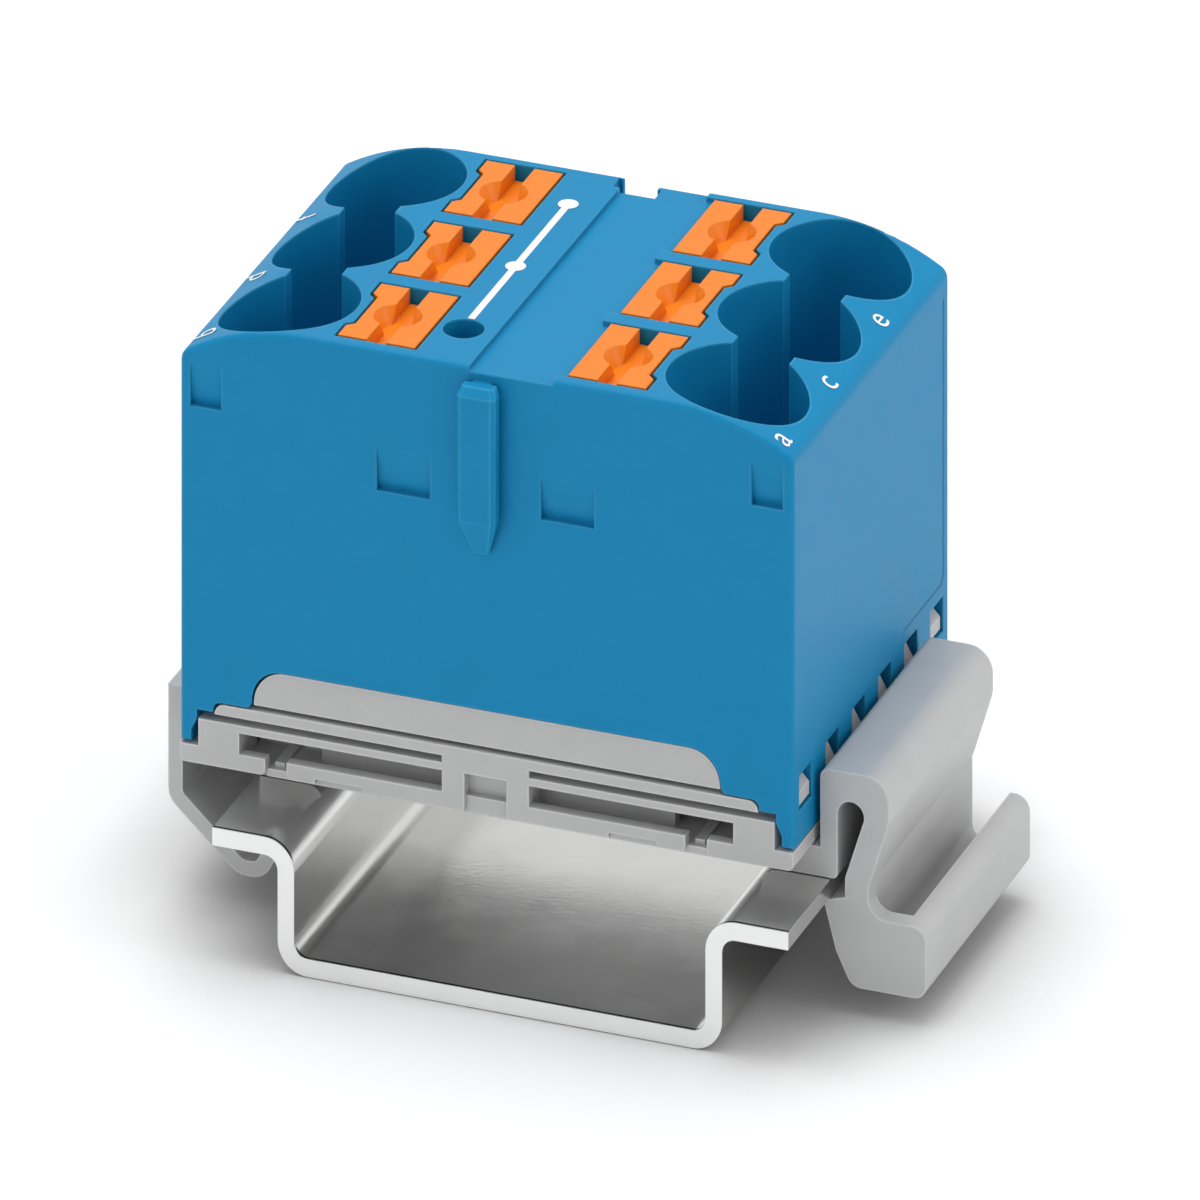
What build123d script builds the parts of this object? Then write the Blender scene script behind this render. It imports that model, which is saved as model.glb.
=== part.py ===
from build123d import *
from math import sin, radians, sqrt
import os

# Power distribution block with six push-in points, on its adapter for a 35 mm top-hat rail.
# X runs across the rail, Y along it, Z up. The origin lies under the middle of the rail section,
# on the flat that the rail stands on.

# Rail section
rail_width = 35.0
rail_height = 7.5
rail_sheet = 1.0
rail_channel = 27.0
rail_bend = 0.8
rail_overhang = 3.5

# Housing
block_width = 37.36
block_length = 25.4
block_lift = 2.88
block_height = 24.22
crown_flat = 11.0
crown_radius = 15.0
shoulder_round = 0.8
edge_round = 0.3
housing_wall = 1.2
side_wall = 1.33

# Connection points, three rows on each side
row_pitch = 8.33
entry_x = 13.67
entry_diameter = 8.2
entry_depth = 10.6
entry_neck = 3.45
funnel_depth = 2.2
wire_bore = 4.6

# Push buttons
button_x = 7.03
button_width = 4.7
button_length = 6.83
button_notch = 0.43
button_notch_length = 3.5
button_notch_slope = 0.4
button_gap = 0.18
button_head_height = 7.6
button_travel = 1.8
travel_margin = 0.2
stem_width = 3.5
stem_length = 5.2
groove_width = 1.2
groove_depth = 0.88
dimple_diameter = 2.83
dimple_floor = 1.73

# Marking band between the sides, and the test probe port
band_left = -1.0
band_right = 4.1
band_depth = 0.3
test_x = -2.95
test_y = -8.5
test_diameter = 2.4

# Rib and groove that link block to block
rib_x = -0.15
rib_head = 2.35
rib_neck = 1.25
rib_depth = 1.3
rib_neck_depth = 0.45
rib_neck_slope = 0.12
rib_chamfer = 0.25
rib_top_drop = 0.75
rib_cap = 0.45
rib_cap_width = 1.95
rib_cap_depth = 0.85
rib_length = 9.65
rib_taper = 2.1
rib_tip_width = 0.95
rib_tip_depth = 0.35
groove_mouth = 2.1
link_gap = 0.13

# Shallow grip recesses on the front
recess_depth = 0.45
recess_outer_x = 17.1
recess_outer_width = 1.9
recess_outer_drop = 2.45
recess_inner_x = 5.0
recess_inner_width = 3.25
recess_inner_drop = 5.4
recess_height = 2.6

# Latch windows in the side walls, and the teeth that snap into them
window_count = 6
window_pitch = 4.27
window_width = 2.1
window_height = 2.05
window_lift = 1.77
tooth_gap = 0.25
tooth_setback = 0.1
tooth_face = 0.7
middle_tooth_face = 0.15
tooth_ramp = 0.8

# Contacts
bar_sheet = 1.2
bar_gap = 0.1
bar_end_gap = 0.5
tab_height = 4.4
frame_sheet = 0.4
upright_height = 3.25
leaf_sheet = 0.4
leaf_width = 5.2
leaf_rise = 4.5
leaf_shoulder = 2.6
leaf_tip_lift = 0.7
leaf_bend = 1.1
chamber_width = 6.2
chamber_reach = 2.4
chamber_inset = 0.35
chamber_roof = 0.4
roof_gap = 0.2
contact_gap = 0.1
frame_gap = 0.15
probe_gap = 0.4

# Base plate that closes the housing
base_lift = 0.25
base_sheet = 0.8
base_gap = 0.1
skirt_sheet = 0.55
skirt_gap = 0.15
panel_inset = 2.35
panel_height = 2.05
panel_round = 1.9
panel_recess = 0.15
opening_gap = 0.1
opening_round = 0.35
opening_step_round = 0.5
leg_taper = 0.35
leg_taper_low = 0.7
leg_taper_high = 1.4

# Rail adapter
deck_lift = 1.72
deck_height = 3.58
deck_sheet = 1.45
deck_rim = 0.25
deck_round = 0.6
deck_rib_x = 8.0
deck_rib_width = 1.2
flange_height = 1.03
ledge_width = 1.0
strip_height = 1.0
line_height = 0.4
line_depth = 1.3
post_half = 2.65
skirt_wall = 2.8
pocket_end = 15.05
pocket_step = 10.75
pocket_lift = 0.93
pocket_height = 1.2
pocket_depth = 2.05
lip_sheet = 0.68
lip_round = 0.3
lip_gap_x = 12.8
lip_gap = 1.3
lip_rib = 0.6
lip_rib_height = 0.25
lip_notch_from = 7.5
lip_notch_to = 10.4
lip_notch_height = 0.3
post_window_half = 1.28
post_window_top = 2.18
post_window_depth = 0.8
post_step_top = 0.83
sole_plate_inset = 0.3
sole_plate_drop = 0.15
sole_plate_top = 0.3
seat_gap = 0.05
seat_overlap = 0.4
seat_setback = 0.2
clip_front = 3.35
clip_length = 17.05

# Fixed hook under the left rail flange
hook_wall = 0.88
hook_reach = 2.05
hook_top = 4.3
hook_turn = 2.0
hook_slope = 4.0
hook_toe = 1.2
hook_lip = 1.5
hook_lip_gap = 0.35
hook_round = 0.9
bridge_sheet = 1.2

# Release foot under the right rail flange
leg_overlap = 0.64
leg_gap = 0.38
leg_sheet = 1.05
leg_round = 0.3
slot_width = 1.6
slot_lower = 0.1
crown_top = 6.2
crown_sheet = 1.65
crown_inner_round = 0.5
crown_outer_round = 1.45
foot_sheet = 1.5
waist_reach = 1.5
waist_sheet = 1.4
waist_drop = 0.2
waist_bend = 1.5
knee_reach = 0.3
knee_rise = 1.1
foot_width = 6.4
foot_bottom = 1.6
sole_reach = 1.9
sole_round = 0.9
shin_reach = 0.95
shin_drop = 4.0
nose_gap = 0.2
nose_drop = 0.25
nose_height = 0.35
catch_drop = 1.85
catch_wall = 1.2
catch_floor = 1.1
catch_web = 1.2
catch_round = 0.9
catch_inner_round = 0.5
heel_round = 0.75
throat_round = 1.1
flex_angle = 6.0
flex_spare = 1.0
flex_gap = 0.03

# How far a cut runs past the face it leaves through
past = 1.0

leg_x = rail_width / 2 - leg_overlap
block_x = leg_x - leg_gap - block_width / 2
block_bottom = rail_height + block_lift
block_top = block_bottom + block_height
half_width = block_width / 2
half_length = block_length / 2
rows = {"front": -row_pitch, "middle": 0.0, "rear": row_pitch}
point_names = {("front", 1): "a", ("front", -1): "b", ("middle", 1): "c",
               ("middle", -1): "d", ("rear", 1): "e", ("rear", -1): "f"}
os.makedirs("parts", exist_ok=True)


def across(y):
    """Drawing plane of a front view, at depth y, facing the front."""
    return Plane.XZ.offset(-y)


def rounded(sketch, x, z, radius):
    """Round the corner of the sketch that lies nearest to (x, z)."""
    fillet(sketch.vertices().sort_by_distance((x, z, 0))[0], radius)


def block(x0, x1, y0, y1, z0, z1, mode=Mode.ADD):
    """Upright block between two corners."""
    with Locations(((x0 + x1) / 2, (y0 + y1) / 2, (z0 + z1) / 2)):
        Box(abs(x1 - x0), abs(y1 - y0), abs(z1 - z0), mode=mode)


# Rail section

rail_half_length = half_length + rail_overhang
web_mid = (rail_channel - rail_sheet) / 2
sheet_mid = rail_sheet / 2
with BuildPart() as din_rail:
    with BuildSketch(across(rail_half_length)):
        with BuildLine():
            FilletPolyline(
                (-rail_width / 2, rail_height - sheet_mid),
                (-web_mid, rail_height - sheet_mid),
                (-web_mid, sheet_mid),
                (web_mid, sheet_mid),
                (web_mid, rail_height - sheet_mid),
                (rail_width / 2, rail_height - sheet_mid),
                radius=rail_bend + sheet_mid,
            )
        trace(line_width=rail_sheet)
    extrude(amount=2 * rail_half_length)

# Heights of the stack between the rail and the housing

deck_bottom = rail_height + deck_lift
deck_top = deck_bottom + deck_height
line_bottom = deck_top - strip_height
base_bottom = deck_top + base_lift
bar_bottom = base_bottom + base_sheet + bar_gap
bar_top = bar_bottom + bar_sheet
frame_bottom = bar_top + contact_gap
frame_top = frame_bottom + frame_sheet
cavity_top = frame_top + roof_gap
leaf_bottom = frame_top + contact_gap
leaf_top = leaf_bottom + leaf_rise
chamber_top = leaf_top + chamber_roof
cavity_half = half_width - side_wall
cavity_y = half_length - housing_wall
skirt_outer = cavity_half - base_gap
skirt_inner = skirt_outer - skirt_sheet
strip_half = skirt_inner - skirt_gap
deck_half = strip_half + ledge_width
panel_half = strip_half - panel_inset
chamber_inner = button_x - chamber_reach
chamber_outer = cavity_half - chamber_inset
tab_outer = chamber_outer - contact_gap
stem_bottom = leaf_top + contact_gap
head_bottom = block_top - button_head_height
pocket_floor = head_bottom - button_travel - travel_margin
entry_bottom = block_top - entry_depth
funnel_bottom = entry_bottom - funnel_depth
shoulder_z = block_top - crown_radius + sqrt(crown_radius ** 2 - (half_width - crown_flat) ** 2)


def button_outline(side, y, grow):
    """Button seen from above, notched toward its conductor entry, grown by a clearance."""
    inner = block_x + side * (button_x - button_width / 2 - grow)
    outer = block_x + side * (button_x + button_width / 2 + grow)
    notch = outer - side * button_notch
    half = button_length / 2 + grow
    waist = button_notch_length / 2 - grow
    slope = waist + button_notch_slope
    Polyline((inner, y - half), (outer, y - half), (outer, y - slope), (notch, y - waist),
             (notch, y + waist), (outer, y + slope), (outer, y + half), (inner, y + half), close=True)


def rib_section(z, width, depth):
    """Section of the link rib at height z, with its neck and chamfers in proportion to its head."""
    across_share = width / rib_head
    along_share = depth / rib_depth
    neck = rib_neck / 2 * across_share
    neck_end = -half_length - rib_neck_depth * along_share
    front = -half_length - depth
    half = [(neck, -half_length + edge_round), (neck, neck_end + rib_neck_slope * along_share),
            (width / 2, neck_end), (width / 2, front + rib_chamfer * along_share),
            (width / 2 - rib_chamfer * across_share, front)]
    middle = block_x + rib_x
    outline = [(middle - x, y) for x, y in half] + [(middle + x, y) for x, y in reversed(half)]
    with BuildSketch(Plane.XY.offset(z)) as section:
        with BuildLine():
            Polyline(*outline, close=True)
        make_face()
    return section


def wall_opening(grow):
    """Stepped opening in the front and rear walls, round the adapter and the base panel."""
    panel = panel_half + grow
    strip = strip_half + grow
    deck = deck_half + grow
    ledge = line_bottom + line_height + grow
    panel_top = base_bottom + panel_height + grow
    foot = deck + leg_taper
    steps = [(foot, block_bottom - past), (foot, block_bottom + leg_taper_low),
             (deck, block_bottom + leg_taper_high), (deck, ledge), (strip, ledge), (strip, deck_top + grow),
             (panel, deck_top + grow), (panel, panel_top)]
    outline = [(block_x - x, z) for x, z in steps] + [(block_x + x, z) for x, z in reversed(steps)]
    with BuildSketch(across(half_length)) as opening:
        with BuildLine():
            Polyline(*outline, close=True)
        make_face()
        for side in (-1, 1):
            rounded(opening, block_x + side * panel, panel_top, panel_round)
            rounded(opening, block_x + side * panel, deck_top + grow, opening_round)
            rounded(opening, block_x + side * strip, deck_top + grow, opening_step_round)
    return opening


# Housing

with BuildPart() as housing:
    with BuildSketch(across(half_length)) as outline:
        with BuildLine():
            flat_left = (block_x - crown_flat, block_top)
            flat_right = (block_x + crown_flat, block_top)
            shoulder_left = (block_x - half_width, shoulder_z)
            shoulder_right = (block_x + half_width, shoulder_z)
            Line(flat_left, flat_right)
            RadiusArc(flat_right, shoulder_right, crown_radius)
            Line(shoulder_right, (block_x + half_width, block_bottom))
            Line((block_x + half_width, block_bottom), (block_x - half_width, block_bottom))
            Line((block_x - half_width, block_bottom), shoulder_left)
            RadiusArc(shoulder_left, flat_left, crown_radius)
        make_face()
        rounded(outline, *shoulder_left, shoulder_round)
        rounded(outline, *shoulder_right, shoulder_round)
    extrude(amount=block_length)
    fillet(housing.faces().filter_by(Axis.Y).edges(), edge_round)

    # Lowered marking band
    block(block_x + band_left, block_x + band_right, -half_length, half_length,
          block_top - band_depth, block_top + past, Mode.SUBTRACT)

    # Cavity for the contacts and the base plate, open below
    block(block_x - cavity_half, block_x + cavity_half, -cavity_y, cavity_y,
          block_bottom - past, cavity_top, Mode.SUBTRACT)

    for y in rows.values():
        for side in (-1, 1):
            with BuildSketch(Plane.XY.offset(pocket_floor)):
                with BuildLine():
                    button_outline(side, y, button_gap)
                make_face()
            extrude(amount=block_top - pocket_floor + past, mode=Mode.SUBTRACT)
            block(block_x + side * (button_x - stem_width / 2 - button_gap),
                  block_x + side * (button_x + stem_width / 2 + button_gap),
                  y - stem_length / 2 - button_gap, y + stem_length / 2 + button_gap,
                  chamber_top - past, pocket_floor + past, Mode.SUBTRACT)
            block(block_x + side * chamber_inner, block_x + side * chamber_outer, y - chamber_width / 2,
                  y + chamber_width / 2, cavity_top - past, chamber_top, Mode.SUBTRACT)
            with BuildSketch(Plane.XY.offset(entry_bottom)):
                with Locations((block_x + side * entry_x, y)):
                    Circle(entry_diameter / 2)
            extrude(amount=entry_depth + past, mode=Mode.SUBTRACT)
            with Locations((block_x + side * entry_x, y, entry_bottom - funnel_depth / 2)):
                Cone(wire_bore / 2, entry_diameter / 2, funnel_depth, mode=Mode.SUBTRACT)
            with BuildSketch(Plane.XY.offset(chamber_top - past)):
                with Locations((block_x + side * entry_x, y)):
                    Circle(wire_bore / 2)
            extrude(amount=funnel_bottom - chamber_top + 2 * past, mode=Mode.SUBTRACT)
        # The band runs on to the button pockets of the right side
        block(block_x + band_right - band_depth, block_x + button_x - button_width / 2,
              y - button_length / 2 - button_gap, y + button_length / 2 + button_gap,
              block_top - band_depth, block_top + past, Mode.SUBTRACT)
    for side in (-1, 1):
        block(block_x + side * entry_x - entry_neck / 2, block_x + side * entry_x + entry_neck / 2,
              -row_pitch, row_pitch, entry_bottom, block_top + past, Mode.SUBTRACT)

    # Test probe port down to the bar
    with BuildSketch(Plane.XY.offset(cavity_top - past)):
        with Locations((block_x + test_x, test_y)):
            Circle(test_diameter / 2)
    extrude(amount=block_top - cavity_top + 2 * past, mode=Mode.SUBTRACT)

    # Link rib on the front
    rib_top = block_top - rib_top_drop
    rib_taper_top = rib_top - rib_length + rib_taper
    low = rib_section(rib_taper_top, rib_head, rib_depth)
    extrude(low.sketch, amount=rib_top - rib_cap - rib_taper_top)
    tip = rib_section(rib_top - rib_length, rib_tip_width, rib_tip_depth)
    loft([low.sketch, tip.sketch])
    high = rib_section(rib_top - rib_cap, rib_head, rib_depth)
    cap = rib_section(rib_top, rib_cap_width, rib_cap_depth)
    loft([high.sketch, cap.sketch])

    # Groove in the rear for the rib of a neighbour
    link_x = block_x + rib_x
    groove_floor = half_length - rib_depth - link_gap
    groove_half = rib_head / 2 + link_gap
    groove_low = rib_top - rib_length - link_gap
    block(link_x - groove_mouth / 2, link_x + groove_mouth / 2, groove_floor, half_length + past,
          groove_low, block_top + past, Mode.SUBTRACT)
    block(link_x - groove_half, link_x + groove_half, groove_floor,
          half_length - rib_neck_depth + link_gap, groove_low, block_top + past, Mode.SUBTRACT)

    # Grip recesses, deepest at their lower edge
    for x, width, drop in ((recess_outer_x, recess_outer_width, recess_outer_drop),
                           (recess_inner_x, recess_inner_width, recess_inner_drop)):
        for side in (-1, 1):
            top = block_top - drop
            with BuildSketch(Plane.YZ.offset(block_x + side * x - width / 2)):
                with BuildLine():
                    Polyline((-half_length, top), (-half_length - past, top),
                             (-half_length - past, top - recess_height),
                             (-half_length + recess_depth, top - recess_height), close=True)
                make_face()
            extrude(amount=width, mode=Mode.SUBTRACT)

    # Latch windows
    window_bottom = block_bottom + window_lift
    for index in range(window_count):
        y = (index - (window_count - 1) / 2) * window_pitch
        block(block_x - half_width - past, block_x + half_width + past,
              y - window_width / 2, y + window_width / 2, window_bottom, window_bottom + window_height,
              Mode.SUBTRACT)

    # Openings round the adapter in the front and rear walls
    extrude(wall_opening(opening_gap).sketch, amount=block_length, both=True, mode=Mode.SUBTRACT)

housing.part.label = "housing"
export_step(housing.part, "parts/housing.step")
din_rail.part.label = "din_rail"
export_step(din_rail.part, "parts/din_rail.step")

# Base plate with the latch teeth and the panel that shows at the front

with BuildPart() as base_plate:
    block(block_x - skirt_outer, block_x + skirt_outer, -cavity_y + base_gap, cavity_y - base_gap,
          base_bottom, base_bottom + base_sheet)
    for side in (-1, 1):
        block(block_x + side * skirt_inner, block_x + side * skirt_outer, -cavity_y + base_gap,
              cavity_y - base_gap, window_bottom, base_bottom + base_sheet)
        for index in range(window_count):
            y = (index - (window_count - 1) / 2) * window_pitch
            with BuildSketch(across(y + window_width / 2 - tooth_gap)):
                with BuildLine():
                    tip_x = block_x + side * (half_width - tooth_setback)
                    root_x = block_x + side * (skirt_outer - base_gap)
                    low_z = window_bottom + tooth_gap
                    high_z = window_bottom + window_height - tooth_gap
                    ends = index in (0, window_count - 1)
                    face_top = low_z + (tooth_face if ends else middle_tooth_face)
                    Polyline((root_x, low_z), (tip_x, low_z), (tip_x, face_top),
                             (tip_x - side * tooth_ramp, high_z), (root_x, high_z), close=True)
                make_face()
            extrude(amount=window_width - 2 * tooth_gap)
    for face_y, inward in ((-half_length + panel_recess, 1), (half_length - panel_recess, -1)):
        with BuildSketch(across(max(face_y, face_y + inward * housing_wall))) as panel_face:
            with Locations((block_x, base_bottom + panel_height / 2)):
                Rectangle(2 * panel_half, panel_height)
            for side in (-1, 1):
                rounded(panel_face, block_x + side * panel_half, base_bottom + panel_height, panel_round)
        extrude(amount=housing_wall)
base_plate.part.label = "base_plate"
export_step(base_plate.part, "parts/base_plate.step")

# Common bar with an upturned contact tab at each point

with BuildPart() as busbar:
    bar_y = cavity_y - bar_end_gap
    block(block_x - tab_outer, block_x + tab_outer, -bar_y, bar_y, bar_bottom, bar_top)
    for y in rows.values():
        for side in (-1, 1):
            block(block_x + side * (tab_outer - bar_sheet), block_x + side * tab_outer,
                  y - leaf_width / 2, y + leaf_width / 2, bar_top, bar_top + tab_height)
    for side in (-1, 1):
        for y in (-row_pitch / 2, row_pitch / 2):
            block(block_x + side * (tab_outer - 2 * bar_sheet), block_x + side * (tab_outer + past),
                  y - (row_pitch - leaf_width) / 2, y + (row_pitch - leaf_width) / 2,
                  bar_bottom - past, bar_top + past, Mode.SUBTRACT)
busbar.part.label = "busbar"
export_step(busbar.part, "parts/busbar.step")

# Steel frame of each row, with an upright at each end that backs the springs

frame_x = chamber_inner + frame_gap
for row, y in rows.items():
    with BuildPart() as spring_frame:
        block(block_x - frame_x - frame_sheet, block_x + frame_x + frame_sheet,
              y - leaf_width / 2, y + leaf_width / 2, frame_bottom, frame_top)
        for side in (-1, 1):
            block(block_x + side * frame_x, block_x + side * (frame_x + frame_sheet),
                  y - leaf_width / 2, y + leaf_width / 2, frame_top, frame_top + upright_height)
        # The row under the test port lets the probe through to the bar
        if abs(y - test_y) < leaf_width / 2:
            with Locations((block_x + test_x, test_y, frame_bottom)):
                Cylinder(test_diameter / 2 + probe_gap, 2 * frame_sheet + past, mode=Mode.SUBTRACT)
    spring_frame.part.label = "spring_frame_" + row
    export_step(spring_frame.part, "parts/spring_frame_" + row + ".step")

# Leaf springs and push buttons, one pair at each connection point

leaf_back = frame_x + frame_sheet + contact_gap + leaf_sheet / 2
leaf_tip = tab_outer - bar_sheet - contact_gap - leaf_sheet
for (row, side), letter in point_names.items():
    y = rows[row]
    with BuildPart() as clamp_spring:
        with BuildSketch(across(y + leaf_width / 2)):
            with BuildLine():
                FilletPolyline(
                    (block_x + side * leaf_back, leaf_bottom),
                    (block_x + side * leaf_back, leaf_top - leaf_sheet / 2),
                    (block_x + side * (leaf_back + leaf_shoulder), leaf_top - leaf_sheet / 2),
                    (block_x + side * leaf_tip, leaf_bottom + leaf_tip_lift),
                    radius=leaf_bend,
                )
            trace(line_width=leaf_sheet)
        extrude(amount=leaf_width)
    clamp_spring.part.label = "clamp_spring_" + letter
    export_step(clamp_spring.part, "parts/clamp_spring_" + letter + ".step")

    with BuildPart() as push_button:
        with BuildSketch(Plane.XY.offset(head_bottom)):
            with BuildLine():
                button_outline(side, y, 0)
            make_face()
        extrude(amount=button_head_height)
        block(block_x + side * (button_x - stem_width / 2), block_x + side * (button_x + stem_width / 2),
              y - stem_length / 2, y + stem_length / 2, stem_bottom, head_bottom)
        # Lengthwise groove and dimple for the tip of a screwdriver
        block(block_x + side * button_x - groove_width / 2, block_x + side * button_x + groove_width / 2,
              y - button_length, y + button_length, block_top - groove_depth, block_top + past, Mode.SUBTRACT)
        with Locations((block_x + side * button_x, y, block_top - groove_depth / 2)):
            Cone(dimple_floor / 2, dimple_diameter / 2, groove_depth, mode=Mode.SUBTRACT)
    push_button.part.label = "push_button_" + letter
    export_step(push_button.part, "parts/push_button_" + letter + ".step")

# Rail adapter

clip_y0 = -half_length + clip_front
clip_y1 = clip_y0 + clip_length
slot_x = leg_x + leg_sheet + slot_width / 2
slot_z = rail_height + crown_top - crown_sheet - slot_width / 2
hinge_z = slot_z + slot_width / 2
seat_z = rail_height + seat_gap
crown_z = rail_height + crown_top
hook_x = block_x - half_width - hook_reach + hook_wall / 2


def skirt_cut(x0, x1, z0, z1, depth, behind=-past):
    """Cut one opening into both skirts on both sides, from a depth behind the face inward."""
    for side in (-1, 1):
        for face in (-1, 1):
            block(block_x + side * x0, block_x + side * x1, face * (half_length - depth),
                  face * (half_length - behind), z0, z1, Mode.SUBTRACT)


with BuildPart() as rail_adapter:
    with BuildSketch(across(half_length)) as deck_face:
        half = [(half_width, deck_bottom), (half_width, deck_bottom + flange_height),
                (deck_half, deck_bottom + flange_height), (deck_half, line_bottom),
                (strip_half, line_bottom), (strip_half, deck_top)]
        outline = [(block_x - x, z) for x, z in half] + [(block_x + x, z) for x, z in reversed(half)]
        with BuildLine():
            Polyline(*outline, close=True)
        make_face()
        for side in (-1, 1):
            rounded(deck_face, block_x + side * strip_half, deck_top, deck_round)
            rounded(deck_face, block_x + side * half_width, deck_bottom, edge_round)
    extrude(amount=block_length)
    # Hollow between the deck and the sole plate, which hangs a little below the lips
    pocket_z = deck_bottom + pocket_lift
    pocket_top = pocket_z + pocket_height
    trough_z = deck_bottom + sole_plate_top
    below = deck_bottom - past
    lip_gap_in = lip_gap_x - lip_gap / 2
    lip_gap_out = lip_gap_x + lip_gap / 2
    block(block_x - strip_half + deck_rim, block_x + strip_half - deck_rim, -half_length + skirt_wall,
          half_length - skirt_wall, trough_z, deck_top - deck_sheet, Mode.SUBTRACT)

    # Lines, pockets, lip gaps and notches of the front and rear skirts
    skirt_through = skirt_wall + past
    skirt_cut(post_half, deck_half + past, line_bottom, line_bottom + line_height, line_depth)
    skirt_cut(post_half, pocket_end, pocket_z, pocket_top, lip_sheet)
    skirt_cut(post_half, pocket_step + lip_sheet, trough_z, pocket_top, pocket_depth, lip_sheet)
    skirt_cut(pocket_step, pocket_end, trough_z, pocket_top, skirt_through, lip_sheet)
    skirt_cut(lip_gap_in, lip_gap_out, below, pocket_z + past, sole_plate_inset)
    skirt_cut(lip_gap_in, lip_gap_out, trough_z, pocket_z + past, lip_sheet)
    skirt_cut(lip_notch_from, lip_notch_to, below, deck_bottom + lip_notch_height, sole_plate_inset)
    post_step = deck_bottom + post_step_top
    skirt_cut(0, post_window_half, below, post_step, sole_plate_inset)
    skirt_cut(0, post_window_half, post_step, deck_bottom + post_window_top, post_window_depth)

    # Rounded ends of the lips
    lip_ends = []
    for edge in rail_adapter.edges().filter_by(Axis.Y):
        middle = edge.center()
        beside_gap = abs(abs(abs(middle.X - block_x) - lip_gap_x) - lip_gap / 2) < seat_gap
        if beside_gap and abs(middle.Y) > half_length - lip_sheet and abs(middle.Z - deck_bottom) < seat_gap:
            lip_ends.append(edge)
    fillet(lip_ends, lip_round)

    # Sole plate, and the rib on it that shows in each gap between the lips
    block(block_x - lip_gap_out, block_x + lip_gap_out, -half_length + sole_plate_inset,
          half_length - sole_plate_inset, deck_bottom - sole_plate_drop, trough_z)
    for side in (-1, 1):
        block(block_x + side * lip_gap_x - lip_rib / 2, block_x + side * lip_gap_x + lip_rib / 2,
              -half_length + lip_sheet, half_length - lip_sheet, trough_z, trough_z + lip_rib_height)

    # Ribs on the deck that carry the base plate
    for side in (-1, 1):
        rib_middle = block_x + side * deck_rib_x
        block(rib_middle - deck_rib_width / 2, rib_middle + deck_rib_width / 2, -cavity_y + past,
              cavity_y - past, deck_top, base_bottom)

    # Seats on both rail flanges
    seat_inner = rail_channel / 2 - seat_overlap
    deck_roof = deck_top - deck_sheet / 2
    block(-rail_width / 2 + seat_setback, -seat_inner, clip_y0, clip_y1, seat_z, deck_roof)
    block(seat_inner, leg_x, clip_y0, clip_y1, seat_z, deck_bottom)
    block(seat_inner, block_x + strip_half, clip_y0, clip_y1, seat_z, deck_roof)

    # Inner leg and the fixed half of the flexing crown
    with BuildSketch(across(clip_y1)) as leg_face:
        with BuildLine():
            Polyline((leg_x, seat_z), (leg_x + leg_sheet, seat_z), (leg_x + leg_sheet, slot_z),
                     (slot_x - flex_gap, slot_z), (slot_x - flex_gap, crown_z), (leg_x, crown_z), close=True)
        make_face()
        with Locations((slot_x, slot_z)):
            Circle(slot_width / 2, mode=Mode.SUBTRACT)
        rounded(leg_face, leg_x, crown_z, crown_inner_round)
        rounded(leg_face, leg_x + leg_sheet, seat_z, leg_round)
    extrude(amount=clip_length)

    # Fixed hook that reaches round and under the left flange
    bridge_top = deck_bottom + flange_height
    block(hook_x, block_x - strip_half, clip_y0, clip_y1, bridge_top - bridge_sheet, bridge_top)
    sole_z = foot_bottom + hook_wall / 2
    with BuildSketch(across(clip_y1)):
        with BuildLine():
            FilletPolyline(
                (hook_x, rail_height + hook_top),
                (hook_x, rail_height - hook_turn),
                (hook_x + hook_slope, sole_z),
                (hook_x + hook_slope + hook_toe, sole_z),
                (-rail_channel / 2 - hook_lip, rail_height - rail_sheet - hook_lip_gap),
                radius=hook_round,
            )
        trace(line_width=hook_wall)
    extrude(amount=clip_length)
rail_adapter.part.label = "rail_adapter"
export_step(rail_adapter.part, "parts/rail_adapter.step")

# Release foot: outer leg, nose under the right flange and catch for a screwdriver

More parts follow.
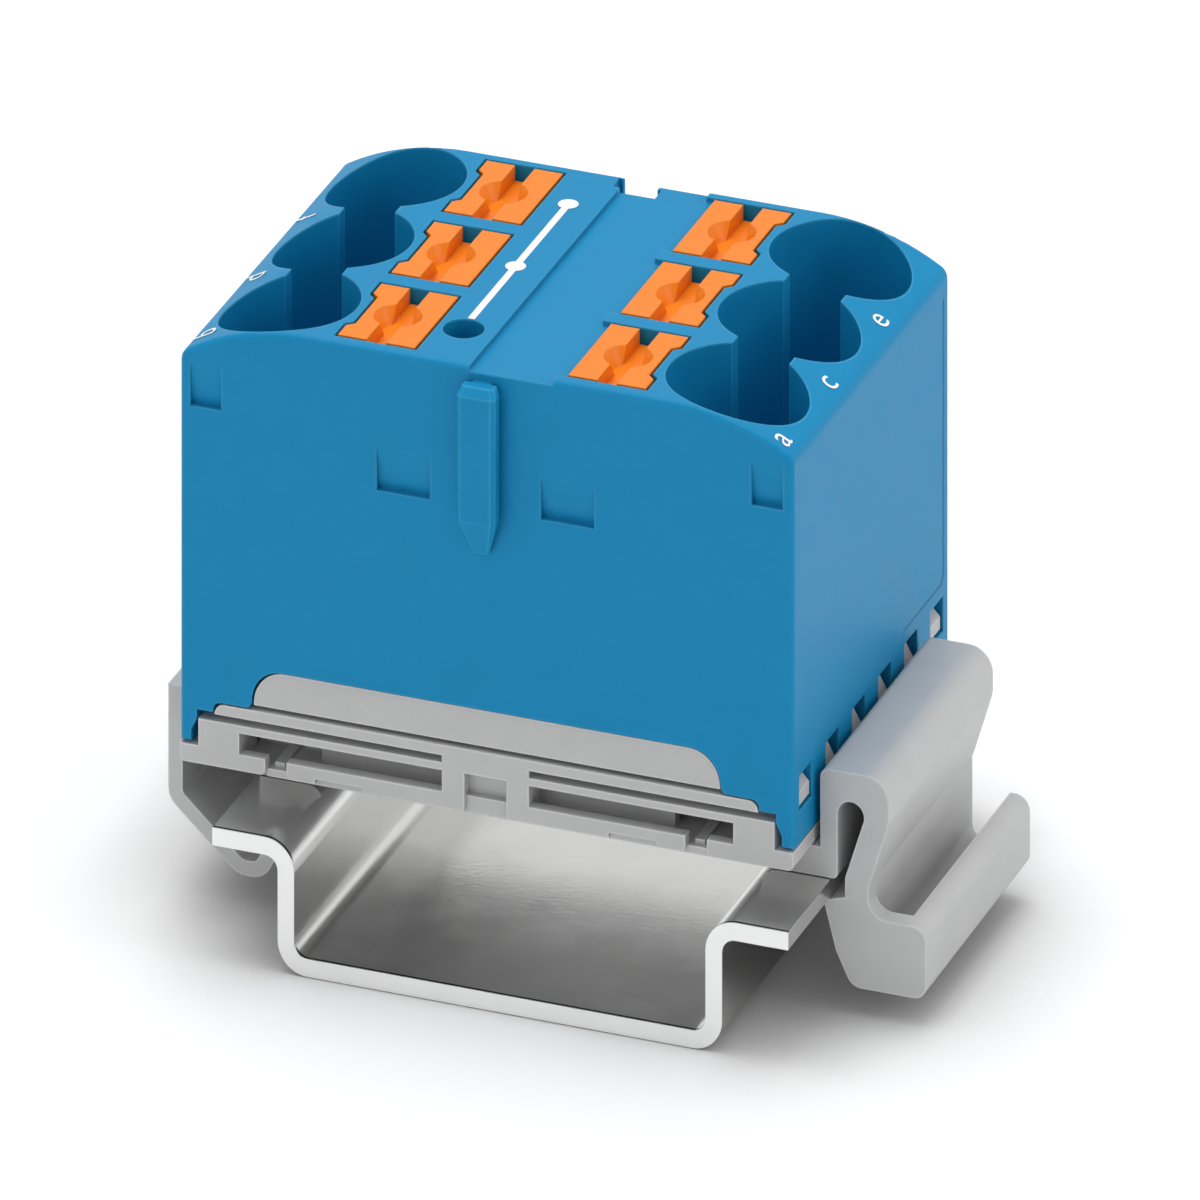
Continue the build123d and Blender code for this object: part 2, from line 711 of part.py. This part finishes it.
with BuildPart() as release_foot:
    slit = (crown_z - hinge_z) * sin(radians(flex_angle + flex_spare))
    slot_inner = leg_x + leg_sheet + slot_width
    waist_inner = leg_x + waist_reach
    waist_outer = waist_inner + waist_sheet
    knee_z = slot_z - slot_lower
    waist_z = rail_height - waist_drop
    catch_z = rail_height - catch_drop
    nose_top = rail_height - rail_sheet - nose_drop + nose_height
    crown_outer = slot_inner + foot_sheet
    right = leg_x + foot_width
    with BuildSketch(across(clip_y1)) as foot_face:
        with BuildLine():
            Polyline(
                (slot_x + flex_gap, knee_z),
                (slot_x + flex_gap, hinge_z - slot_lower),
                (slot_x + flex_gap + slit, crown_z),
                (crown_outer, crown_z),
                (crown_outer, knee_z),
                (waist_outer, waist_z),
                (waist_outer, catch_z),
                (right, catch_z),
                (right, foot_bottom),
                (leg_x + sole_reach, foot_bottom),
                (leg_x + shin_reach, rail_height - shin_drop),
                (leg_x + nose_gap, nose_top - nose_height),
                (waist_inner, nose_top),
                (waist_inner, rail_height + nose_gap),
                (waist_inner + knee_reach, rail_height + knee_rise),
                (slot_inner, knee_z),
                close=True,
            )
        make_face()
        with Locations((slot_x, slot_z)):
            Circle(slot_width / 2, mode=Mode.SUBTRACT)
        rounded(foot_face, crown_outer, crown_z, crown_outer_round)
        rounded(foot_face, crown_outer, knee_z, waist_bend)
        rounded(foot_face, waist_outer, waist_z, waist_bend)
        rounded(foot_face, waist_outer, catch_z, throat_round)
        rounded(foot_face, right, catch_z, catch_round)
        rounded(foot_face, right, foot_bottom, heel_round)
        rounded(foot_face, leg_x + sole_reach, foot_bottom, sole_round)
    extrude(amount=clip_length)
    # Channel of the catch, closed at the front by a web and open at the rear
    channel_floor = foot_bottom + catch_floor
    with BuildSketch(across(clip_y1 + past)) as channel:
        with BuildLine():
            Polyline((waist_outer, rail_height), (waist_outer, channel_floor),
                     (right - catch_wall, channel_floor), (right - catch_wall, rail_height), close=True)
        make_face()
        rounded(channel, waist_outer, channel_floor, catch_round)
        rounded(channel, right - catch_wall, channel_floor, catch_inner_round)
    extrude(amount=clip_length + past - catch_web, mode=Mode.SUBTRACT)
release_foot.part.label = "release_foot"
export_step(release_foot.part, "parts/release_foot.step")
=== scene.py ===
import math

import bmesh
import bpy
from mathutils import Matrix, Vector


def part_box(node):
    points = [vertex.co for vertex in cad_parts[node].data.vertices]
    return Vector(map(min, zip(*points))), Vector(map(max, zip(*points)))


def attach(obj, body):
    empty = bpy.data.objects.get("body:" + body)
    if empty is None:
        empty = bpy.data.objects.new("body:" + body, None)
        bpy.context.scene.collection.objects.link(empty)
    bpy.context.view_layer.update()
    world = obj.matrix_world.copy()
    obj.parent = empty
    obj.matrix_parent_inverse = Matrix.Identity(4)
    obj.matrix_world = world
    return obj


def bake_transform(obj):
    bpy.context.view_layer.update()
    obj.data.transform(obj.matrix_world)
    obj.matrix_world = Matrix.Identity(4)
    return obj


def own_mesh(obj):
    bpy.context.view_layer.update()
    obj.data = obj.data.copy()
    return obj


# Looks of the power distribution block: materials, printed marks, the crown of the foot,
# floor, world, lamps and camera. Lengths here are metres, as in the frame.

MM = 0.001

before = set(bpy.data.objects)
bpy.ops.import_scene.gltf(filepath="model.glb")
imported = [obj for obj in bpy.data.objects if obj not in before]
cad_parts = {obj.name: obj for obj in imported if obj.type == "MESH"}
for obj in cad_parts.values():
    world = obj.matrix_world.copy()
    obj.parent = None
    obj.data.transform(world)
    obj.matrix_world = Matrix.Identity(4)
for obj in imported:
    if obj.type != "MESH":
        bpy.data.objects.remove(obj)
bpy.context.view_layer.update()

# Places that the dressing takes from the solids

house_low, house_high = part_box("housing")
foot_low, foot_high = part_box("release_foot")
BLOCK_X = (house_low.x + house_high.x) / 2
BLOCK_HALF = (house_high.x - house_low.x) / 2
BLOCK_TOP = house_high.z
RAIL_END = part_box("din_rail")[1].y

# Form of the crowned top, flat in the middle and round toward both sides

CROWN_FLAT = 11.0 * MM
CROWN_RADIUS = 15.0 * MM


# Colours

def srgb(r, g, b):
    """Linear colour of an sRGB value given from 0 to 255."""
    def linear(c):
        c = c / 255
        return c / 12.92 if c <= 0.04045 else ((c + 0.055) / 1.055) ** 2.4
    return (linear(r), linear(g), linear(b), 1.0)


def shade(colour, factor):
    return tuple(c * factor for c in colour[:3]) + (1.0,)


def grey(value):
    return (value, value, value, 1.0)


# Nodes

def emptied(owner):
    """Node tree of a material or a world, with nothing in it."""
    owner.use_nodes = True
    owner.node_tree.nodes.clear()
    return owner.node_tree


def split(tree, vector):
    """Outputs X, Y and Z of a vector."""
    node = tree.nodes.new("ShaderNodeSeparateXYZ")
    tree.links.new(vector, node.inputs[0])
    return node.outputs


def scalar(tree, operation, *sources):
    node = tree.nodes.new("ShaderNodeMath")
    node.operation = operation
    for source, socket in zip(sources, node.inputs):
        tree.links.new(source, socket)
    return node.outputs[0]


def measure(tree, operation, *sources):
    """Number that a vector operation gives."""
    node = tree.nodes.new("ShaderNodeVectorMath")
    node.operation = operation
    for source, socket in zip(sources, node.inputs):
        tree.links.new(source, socket)
    return node.outputs["Value"]


def span(tree, source, start, end, first=0.0, last=1.0):
    """Number that runs from first to last as the source runs from start to end."""
    node = tree.nodes.new("ShaderNodeMapRange")
    node.inputs["From Min"].default_value = start
    node.inputs["From Max"].default_value = end
    node.inputs["To Min"].default_value = first
    node.inputs["To Max"].default_value = last
    tree.links.new(source, node.inputs["Value"])
    return node.outputs[0]


def mixed(tree, share, first, second):
    """Mix of two colours by a share, where each colour is plain or comes from a node."""
    node = tree.nodes.new("ShaderNodeMix")
    node.data_type = "RGBA"
    tree.links.new(share, node.inputs["Factor"])
    for socket, colour in (("A", first), ("B", second)):
        if isinstance(colour, tuple):
            node.inputs[socket].default_value = colour
        else:
            tree.links.new(colour, node.inputs[socket])
    return node.outputs["Result"]


def noise(tree, scale, detail, stretch):
    """Noise over the object's own coordinates, stretched along an axis."""
    coords = tree.nodes.new("ShaderNodeTexCoord")
    mapping = tree.nodes.new("ShaderNodeMapping")
    mapping.inputs["Scale"].default_value = stretch
    texture = tree.nodes.new("ShaderNodeTexNoise")
    texture.inputs["Scale"].default_value = scale
    texture.inputs["Detail"].default_value = detail
    tree.links.new(coords.outputs["Object"], mapping.inputs["Vector"])
    tree.links.new(mapping.outputs[0], texture.inputs["Vector"])
    return texture.outputs["Fac"]


def ramp(tree, source, low, high, first, last):
    """Colour ramp from low to high between the positions first and last."""
    node = tree.nodes.new("ShaderNodeValToRGB")
    start, end = node.color_ramp.elements
    start.position = first
    start.color = low
    end.position = last
    end.color = high
    tree.links.new(source, node.inputs["Fac"])
    return node.outputs["Color"]


BEVEL_SAMPLES = 4


def bevelled(tree, radius):
    """Normal that turns within a radius of the edges."""
    node = tree.nodes.new("ShaderNodeBevel")
    node.samples = BEVEL_SAMPLES
    node.inputs["Radius"].default_value = radius
    return node.outputs[0]


def openness(tree, distance, samples, only_local):
    """Share of the surroundings that is open within a distance."""
    node = tree.nodes.new("ShaderNodeAmbientOcclusion")
    node.samples = samples
    node.only_local = only_local
    node.inputs["Distance"].default_value = distance
    return node.outputs["AO"]


# Moulded and metal surfaces

PATCH_SCALE = 420
PATCH_DETAIL = 3
GRAIN_DETAIL = 2
TONE_SPAN = (0.35, 0.65)
GLOSS_SPAN = (0.3, 0.7)
# The next four set the painted highlight along outer edges: how far the normal turns, how open the
# surroundings must be, how far to look, and the samples
HIGHLIGHT_TURN = (0.99, 0.93)
HIGHLIGHT_OPEN = (0.7, 0.95)
HIGHLIGHT_REACH = 0.3 * MM
HIGHLIGHT_SAMPLES = 2
# The next four place the painted dark reflection line on the upper faces just behind the rail's cut ends
RIM_BEHIND = 0.07 * MM
RIM_WIDTH = 0.20 * MM
RIM_FADE = 0.03 * MM
RIM_UPWARD = (0.3, 0.5)


def painted_edge_highlight(tree, tone, width, colour):
    """Tone with a painted highlight of another colour along the outer edges where the surroundings are open,
    standing in for the light that a narrow rounded edge catches.
    """
    geometry = tree.nodes.new("ShaderNodeNewGeometry")
    facing = measure(tree, "DOT_PRODUCT", bevelled(tree, width), geometry.outputs["Normal"])
    share = scalar(tree, "MULTIPLY", span(tree, facing, *HIGHLIGHT_TURN),
                   span(tree, openness(tree, HIGHLIGHT_REACH, HIGHLIGHT_SAMPLES, True), *HIGHLIGHT_OPEN))
    return mixed(tree, share, tone, colour)


def painted_rim_reflection(tree, tone, end, colour):
    """Tone with a painted dark reflection line across the upper faces, just behind both cut ends at y = end
    and y = -end, as a small rounded cut edge shows it.
    """
    geometry = tree.nodes.new("ShaderNodeNewGeometry")
    along = scalar(tree, "ABSOLUTE", split(tree, geometry.outputs["Position"])["Y"])
    upward = split(tree, geometry.outputs["Normal"])["Z"]
    last = end - RIM_BEHIND
    first = last - RIM_WIDTH
    line = scalar(tree, "MULTIPLY", span(tree, along, first, first + RIM_FADE),
                  span(tree, along, last, last - RIM_FADE))
    share = scalar(tree, "MULTIPLY", line, span(tree, upward, *RIM_UPWARD))
    return mixed(tree, share, tone, colour)


def surface(name, colour, spread, rough, metallic=0.0, specular=0.5, grain=9000, grain_depth=0.0,
            stretch=(1, 1, 1), round_edge=0.0, highlight_width=0.0, highlight_colour=None, rim_end=0.0, rim_reflection_colour=None):
    """Surface with slight patches of tone and gloss, a fine grain and softened edges; where asked, a painted
    highlight along the outer edges and a painted dark reflection line just behind the rail's cut ends.
    """
    material = bpy.data.materials.new(name)
    tree = emptied(material)
    shader = tree.nodes.new("ShaderNodeBsdfPrincipled")
    shader.inputs["Metallic"].default_value = metallic
    shader.inputs["Specular IOR Level"].default_value = specular
    patches = noise(tree, PATCH_SCALE, PATCH_DETAIL, stretch)
    tone = ramp(tree, patches, shade(colour, 1 - spread), shade(colour, 1 + spread), *TONE_SPAN)
    # Painted highlight along the outer edges
    if highlight_colour:
        tone = painted_edge_highlight(tree, tone, highlight_width, highlight_colour)
    # Painted dark reflection line just behind the cut ends
    if rim_reflection_colour:
        tone = painted_rim_reflection(tree, tone, rim_end, rim_reflection_colour)
    gloss = ramp(tree, patches, grey(rough[0]), grey(rough[1]), *GLOSS_SPAN)
    bump = tree.nodes.new("ShaderNodeBump")
    bump.inputs["Strength"].default_value = 1.0
    bump.inputs["Distance"].default_value = grain_depth
    tree.links.new(noise(tree, grain, GRAIN_DETAIL, stretch), bump.inputs["Height"])
    if round_edge:
        tree.links.new(bevelled(tree, round_edge), bump.inputs["Normal"])
    tree.links.new(tone, shader.inputs["Base Color"])
    tree.links.new(gloss, shader.inputs["Roughness"])
    tree.links.new(bump.outputs[0], shader.inputs["Normal"])
    output = tree.nodes.new("ShaderNodeOutputMaterial")
    tree.links.new(shader.outputs[0], output.inputs["Surface"])
    return material


# Painted highlight in light blue along the blue's outer edges
blue = surface("moulded_blue", srgb(18, 134, 184), 0.02, (0.38, 0.44), specular=0.13,
               grain_depth=0.0015 * MM, round_edge=0.20 * MM,
               highlight_width=0.18 * MM, highlight_colour=srgb(64, 166, 210))
seam_blue = surface("seam_blue", srgb(6, 92, 140), 0.03, (0.45, 0.5), specular=0.2, grain_depth=0.001 * MM)
orange = surface("moulded_orange", srgb(238, 130, 24), 0.02, (0.26, 0.32), specular=0.22,
                 grain_depth=0.0015 * MM, round_edge=0.10 * MM)
# Painted highlight in pale grey along the grey's outer edges
pale_grey = surface("moulded_grey", srgb(190, 190, 190), 0.02, (0.38, 0.44), specular=0.35,
                    grain_depth=0.0015 * MM, round_edge=0.08 * MM,
                    highlight_width=0.18 * MM, highlight_colour=srgb(222, 222, 222))
# The rail gets a painted dark reflection line on its upper faces just behind both cut ends
rail_metal = surface("plated_rail", srgb(224, 224, 223), 0.02, (0.17, 0.24), metallic=1.0, grain=3200,
                     grain_depth=0.004 * MM, round_edge=0.10 * MM,
                     rim_end=RAIL_END, rim_reflection_colour=srgb(40, 40, 40))
cut_metal = surface("cut_rail", srgb(243, 243, 242), 0.01, (0.45, 0.5), metallic=0.4, grain=5200,
                    grain_depth=0.001 * MM)
bar_metal = surface("tinned_bar", srgb(206, 203, 196), 0.04, (0.25, 0.35), metallic=1.0, grain=2600,
                    grain_depth=0.001 * MM)
spring_metal = surface("bright_spring", srgb(196, 196, 198), 0.03, (0.16, 0.24), metallic=1.0, grain=2600,
                       grain_depth=0.0006 * MM, stretch=(1, 8, 1))
white_print = surface("white_print", srgb(246, 246, 244), 0.01, (0.45, 0.5), grain_depth=0.001 * MM)

# The solids with their surfaces

END_FACING = 0.9


def dress(name, material):
    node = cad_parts[name]
    node.data.materials.clear()
    node.data.materials.append(material)


def dress_rail_ends():
    """Bare cut metal on both end faces of the rail."""
    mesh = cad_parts["din_rail"].data
    mesh.materials.append(cut_metal)
    for face in mesh.polygons:
        face.material_index = int(abs(face.normal.y) > END_FACING)


dress("housing", blue)
dress("din_rail", rail_metal)
dress_rail_ends()
dress("busbar", bar_metal)
for name in ("base_plate", "rail_adapter", "release_foot"):
    dress(name, pale_grey)
for row in ("front", "middle", "rear"):
    dress("spring_frame_" + row, spring_metal)
for letter in "abcdef":
    dress("clamp_spring_" + letter, spring_metal)
    dress("push_button_" + letter, orange)
    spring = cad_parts["clamp_spring_" + letter]
    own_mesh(spring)


# Printed line, dots and letters on the crowned top

def new_piece(name, mesh, material):
    mesh.materials.append(material)
    piece = bpy.data.objects.new(name, mesh)
    bpy.context.scene.collection.objects.link(piece)
    return piece


def print_on_top(name, outline, lift):
    """Flat white mark on the middle of the top, its outline given from the block's middle."""
    mesh = bpy.data.meshes.new(name)
    mesh.from_pydata([(BLOCK_X + u, y, BLOCK_TOP + lift) for u, y in outline], [], [range(len(outline))])
    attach(new_piece(name, mesh, white_print), "block")


def crown_point(u, y, lift):
    """Point above the crowned top at u from the block's middle, with the tilt of the surface there."""
    over = max(abs(u) - CROWN_FLAT, 0.0)
    angle = math.asin(over / CROWN_RADIUS)
    side = math.copysign(1, u)
    drop = CROWN_RADIUS * (1 - math.cos(angle))
    normal = Vector((side * math.sin(angle), 0, math.cos(angle)))
    return Vector((BLOCK_X + u, y, BLOCK_TOP - drop)) + normal * lift, side * angle


def letter_mesh(letter, size):
    """Flat mesh of one plain letter about its own middle."""
    text = bpy.data.curves.new("letter_" + letter, "FONT")
    text.body = letter
    text.size = size
    text.align_x = "CENTER"
    text.align_y = "CENTER"
    holder = bpy.data.objects.new("holder", text)
    bpy.context.scene.collection.objects.link(holder)
    bpy.context.view_layer.update()
    mesh = bpy.data.meshes.new_from_object(holder.evaluated_get(bpy.context.evaluated_depsgraph_get()))
    bpy.data.objects.remove(holder)
    mesh.materials.clear()
    return mesh


PRINT_LIFT = 0.012 * MM
LETTER_LIFT = 0.03 * MM
LINE_U = -3.0 * MM
LINE_WIDTH = 0.42 * MM
LINE_FROM = -7.2 * MM
LINE_TO = 8.22 * MM
DOT_RADIUS = 0.6 * MM
DOT_SIDES = 40
DOTS = {"middle": -0.17 * MM, "rear": LINE_TO}
LETTER_SIZE = 2.15 * MM
LETTER_TURN = Matrix.Rotation(math.radians(90), 4, "Z")
LETTERS_MM = {"a": (17.53, -11.64), "b": (-17.7, -11.1), "c": (17.53, -4.17), "d": (-17.7, -3.6),
              "e": (17.53, 4.14), "f": (-17.7, 4.5)}

line_left = LINE_U - LINE_WIDTH / 2
line_right = LINE_U + LINE_WIDTH / 2
print_on_top("printed_line", [(line_left, LINE_FROM), (line_right, LINE_FROM),
                              (line_right, LINE_TO), (line_left, LINE_TO)], PRINT_LIFT)
dot_turns = [2 * math.pi * i / DOT_SIDES for i in range(DOT_SIDES)]
for name, y in DOTS.items():
    ring = [(LINE_U + DOT_RADIUS * math.cos(turn), y + DOT_RADIUS * math.sin(turn)) for turn in dot_turns]
    print_on_top("printed_dot_" + name, ring, 2 * PRINT_LIFT)
for letter, (u, y) in LETTERS_MM.items():
    mesh = letter_mesh(letter, LETTER_SIZE)
    place, tilt = crown_point(u * MM, y * MM, LETTER_LIFT)
    mesh.transform(Matrix.Translation(place) @ Matrix.Rotation(tilt, 4, "Y") @ LETTER_TURN)
    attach(new_piece("printed_letter_" + letter, mesh, white_print), "block")


def arc(x, y, radius, start, end, steps):
    """Points of an arc, angles in degrees."""
    angles = [math.radians(start + (end - start) * i / steps) for i in range(steps + 1)]
    return [(x + radius * math.cos(a), y + radius * math.sin(a)) for a in angles]


# Fine parting line on the right wall, which runs down and then turns to the front

SEAM_Y = 11.87 * MM
SEAM_FRONT = 5.3 * MM
SEAM_HIGH = 31.2 * MM
SEAM_LOW = 14.95 * MM
SEAM_ROUND = 0.6 * MM
UPRIGHT_WIDTH = 0.16 * MM
LEVEL_WIDTH = 0.07 * MM
BEND_STEPS = 6


def seam_edge(y, z):
    """One edge of the line, with its upright part at y and its level part at z."""
    bend_y = SEAM_Y - SEAM_ROUND
    bend_z = SEAM_LOW + SEAM_ROUND
    quarter = [(bend_y + (y - bend_y) * c, bend_z + (bend_z - z) * s)
               for c, s in arc(0, 0, 1, 0, -90, BEND_STEPS)]
    return [(y, SEAM_HIGH)] + quarter + [(SEAM_FRONT, z)]


outer_edge = seam_edge(SEAM_Y, SEAM_LOW)
inner_edge = seam_edge(SEAM_Y - UPRIGHT_WIDTH, SEAM_LOW + LEVEL_WIDTH)
seam_x = BLOCK_X + BLOCK_HALF + PRINT_LIFT
count = len(outer_edge)
seam_mesh = bpy.data.meshes.new("side_seam")
seam_mesh.from_pydata([(seam_x, y, z) for y, z in outer_edge + inner_edge], [],
                      [(i, i + 1, count + i + 1, count + i) for i in range(count - 1)])
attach(new_piece("side_seam", seam_mesh, seam_blue), "block")

# Crown of the foot: one skin over the slit where the foot's two halves part in the solids

LEG_X = BLOCK_X + BLOCK_HALF + 0.38 * MM
SLOT_X = LEG_X + 1.85 * MM
SLOT_RADIUS = 0.8 * MM
SLOT_Z = 11.25 * MM
CROWN_Z = foot_high.z
CROWN_END = LEG_X + 4.15 * MM
INNER_ROUND = 0.5 * MM
OUTER_ROUND = 1.45 * MM
SKIN = 0.005 * MM
TOP_STEPS = 12
SHARP_ANGLE = math.radians(40)


def crown_mesh():
    """Front, rear, outer and slot faces of the crown, a skin's width outside the solids."""
    flat_from = LEG_X + INNER_ROUND
    flat_to = CROWN_END - OUTER_ROUND
    outside = [(LEG_X, SLOT_Z)]
    outside += arc(flat_from, CROWN_Z - INNER_ROUND, INNER_ROUND, 180, 90, 8)
    outside += [(flat_from + (flat_to - flat_from) * i / TOP_STEPS, CROWN_Z) for i in range(1, TOP_STEPS)]
    outside += arc(flat_to, CROWN_Z - OUTER_ROUND, OUTER_ROUND, 90, 0, 12)
    outside += [(CROWN_END, SLOT_Z)]
    profile = outside + arc(SLOT_X, SLOT_Z, SLOT_RADIUS, 0, 180, 24)
    centre = Vector((SLOT_X, SLOT_Z))
    points = []
    for y in (foot_low.y - SKIN, foot_high.y + SKIN):
        for point in profile:
            out = (Vector(point) - centre).normalized() * SKIN
            points.append((point[0] + out.x, y, point[1] + out.y))
    count = len(profile)
    faces = [tuple(range(count)), tuple(range(2 * count - 1, count - 1, -1))]
    faces += [(i, i + count, i + 1 + count, i + 1) for i in range(count - 1) if i != len(outside) - 1]
    mesh = bpy.data.meshes.new("foot_crown")
    mesh.from_pydata(points, [], faces)
    build = bmesh.new()
    build.from_mesh(mesh)
    bmesh.ops.recalc_face_normals(build, faces=build.faces)
    bmesh.ops.triangulate(build, faces=[f for f in build.faces if len(f.verts) > 4])
    build.to_mesh(mesh)
    build.free()
    mesh.shade_smooth()
    mesh.set_sharp_from_angle(angle=SHARP_ANGLE)
    return mesh


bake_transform(new_piece("foot_crown", crown_mesh(), pale_grey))

# Floor: a painted shadow makes it darker close under the object, where little is open around, and a faint glow
# for the camera lifts it more as the distance grows

FLOOR_HALF = 3.0
FLOOR_DROP = 0.05 * MM
FLOOR_GREY = 0.94
SHADOW_GREY = 0.28
SHADOW_REACH = 9 * MM
SHADOW_SAMPLES = 4
GLOW_REACH = (0.12, 0.9)
FLOOR_GLOW = (0.04, 0.6)


def floor_with_painted_shadow():
    material = bpy.data.materials.new("floor_with_painted_shadow")
    tree = emptied(material)
    matt = tree.nodes.new("ShaderNodeBsdfDiffuse")
    # Painted shadow: the floor's colour turns darker where the object closes in around it
    open_share = openness(tree, SHADOW_REACH, SHADOW_SAMPLES, False)
    tree.links.new(mixed(tree, open_share, grey(SHADOW_GREY), grey(FLOOR_GREY)), matt.inputs["Color"])
    rays = tree.nodes.new("ShaderNodeLightPath").outputs
    geometry = tree.nodes.new("ShaderNodeNewGeometry")
    distance = measure(tree, "LENGTH", geometry.outputs["Position"])
    strength = scalar(tree, "MULTIPLY", rays["Is Camera Ray"],
                      span(tree, distance, *GLOW_REACH, *FLOOR_GLOW))
    glow = tree.nodes.new("ShaderNodeEmission")
    glow.inputs["Color"].default_value = grey(1.0)
    tree.links.new(strength, glow.inputs["Strength"])
    both = tree.nodes.new("ShaderNodeAddShader")
    tree.links.new(matt.outputs[0], both.inputs[0])
    tree.links.new(glow.outputs[0], both.inputs[1])
    output = tree.nodes.new("ShaderNodeOutputMaterial")
    tree.links.new(both.outputs[0], output.inputs["Surface"])
    return material


floor_mesh = bpy.data.meshes.new("floor")
floor_mesh.from_pydata([(-FLOOR_HALF, -FLOOR_HALF, 0), (FLOOR_HALF, -FLOOR_HALF, 0),
                        (FLOOR_HALF, FLOOR_HALF, 0), (-FLOOR_HALF, FLOOR_HALF, 0)], [], [(0, 1, 2, 3)])
floor_mesh.materials.append(floor_with_painted_shadow())
floor = bpy.data.objects.new("floor", floor_mesh)
floor.location.z = -FLOOR_DROP
bpy.context.scene.collection.objects.link(floor)

# World: white for the camera, a bright card low down for glosses, and plain light that grows upward

SKY_LOW = 0.2
SKY_HIGH = 0.8
CARD_EDGE = (0.47, 0.67)
CARD_BRIGHT = 0.9
CARD_DIM = 0.13


def white_background(tree):
    node = tree.nodes.new("ShaderNodeBackground")
    node.inputs["Color"].default_value = grey(1.0)
    node.inputs["Strength"].default_value = 1.0
    return node


def choose(tree, ray, otherwise, chosen):
    """Shader that is the chosen one for one kind of ray."""
    node = tree.nodes.new("ShaderNodeMixShader")
    tree.links.new(ray, node.inputs["Fac"])
    tree.links.new(otherwise.outputs[0], node.inputs[1])
    tree.links.new(chosen.outputs[0], node.inputs[2])
    return node


def studio():
    world = bpy.data.worlds.new("studio")
    tree = emptied(world)
    toward = tree.nodes.new("ShaderNodeTexCoord")
    height = split(tree, toward.outputs["Generated"])["Z"]
    light = white_background(tree)
    tree.links.new(span(tree, height, 0.0, 1.0, SKY_LOW, SKY_HIGH), light.inputs["Strength"])
    card = white_background(tree)
    tree.links.new(span(tree, height, *CARD_EDGE, CARD_BRIGHT, CARD_DIM), card.inputs["Strength"])
    white = white_background(tree)
    rays = tree.nodes.new("ShaderNodeLightPath").outputs
    shown = choose(tree, rays["Is Glossy Ray"], light, card)
    shown = choose(tree, rays["Is Transmission Ray"], shown, white)
    shown = choose(tree, rays["Is Camera Ray"], shown, white)
    output = tree.nodes.new("ShaderNodeOutputWorld")
    tree.links.new(shown.outputs[0], output.inputs["Surface"])
    return world


bpy.context.scene.world = studio()

# Lamps

LAMP_AIM = Vector((0, 0, 20 * MM))


def area_lamp(name, place, size, watts):
    data = bpy.data.lights.new(name, "AREA")
    data.shape = "SQUARE"
    data.size = size
    data.energy = watts
    lamp = bpy.data.objects.new(name, data)
    lamp.location = place
    lamp.rotation_euler = (LAMP_AIM - Vector(place)).to_track_quat("-Z", "Y").to_euler()
    bpy.context.scene.collection.objects.link(lamp)


area_lamp("top_light", (-0.10, 0.08, 0.60), size=0.50, watts=2.1)
area_lamp("right_light", (0.55, 0.05, 0.30), size=0.35, watts=0.8)
area_lamp("front_light", (-0.15, -0.62, 0.16), size=0.35, watts=0.55)

# Camera with skewed axes, so that uprights stay parallel in a view from above

AZIMUTH = math.radians(20.985)
EYE = Vector((604.53, -1576.33, 804.30)) * MM
FOCAL_PX = 29532.3
HORIZON_PX = -13184.1
IMAGE_PX = 1200
SENSOR_WIDTH = 36.0
CLIP_START = 0.1
CLIP_END = 20.0


def place_camera():
    right = Vector((math.cos(AZIMUTH), math.sin(AZIMUTH), 0))
    up = Vector((0, 0, 1))
    ahead = Vector((-math.sin(AZIMUTH), math.cos(AZIMUTH), 0))
    sight = ahead + up * ((HORIZON_PX - IMAGE_PX / 2) / FOCAL_PX)
    axes = Matrix((right, up, -sight.normalized())).transposed().to_4x4()
    data = bpy.data.cameras.new("camera")
    data.sensor_width = SENSOR_WIDTH
    data.lens = SENSOR_WIDTH * FOCAL_PX * sight.length / IMAGE_PX
    data.clip_start = CLIP_START
    data.clip_end = CLIP_END
    stand = bpy.data.objects.new("camera_stand", None)
    camera = bpy.data.objects.new("camera", data)
    camera.parent = stand
    camera.matrix_parent_inverse = Matrix.Translation(EYE) @ axes
    for piece in (stand, camera):
        bpy.context.scene.collection.objects.link(piece)
    bpy.context.scene.camera = camera


place_camera()
bpy.context.scene.view_settings.view_transform = "Standard"

bpy.context.view_layer.update()
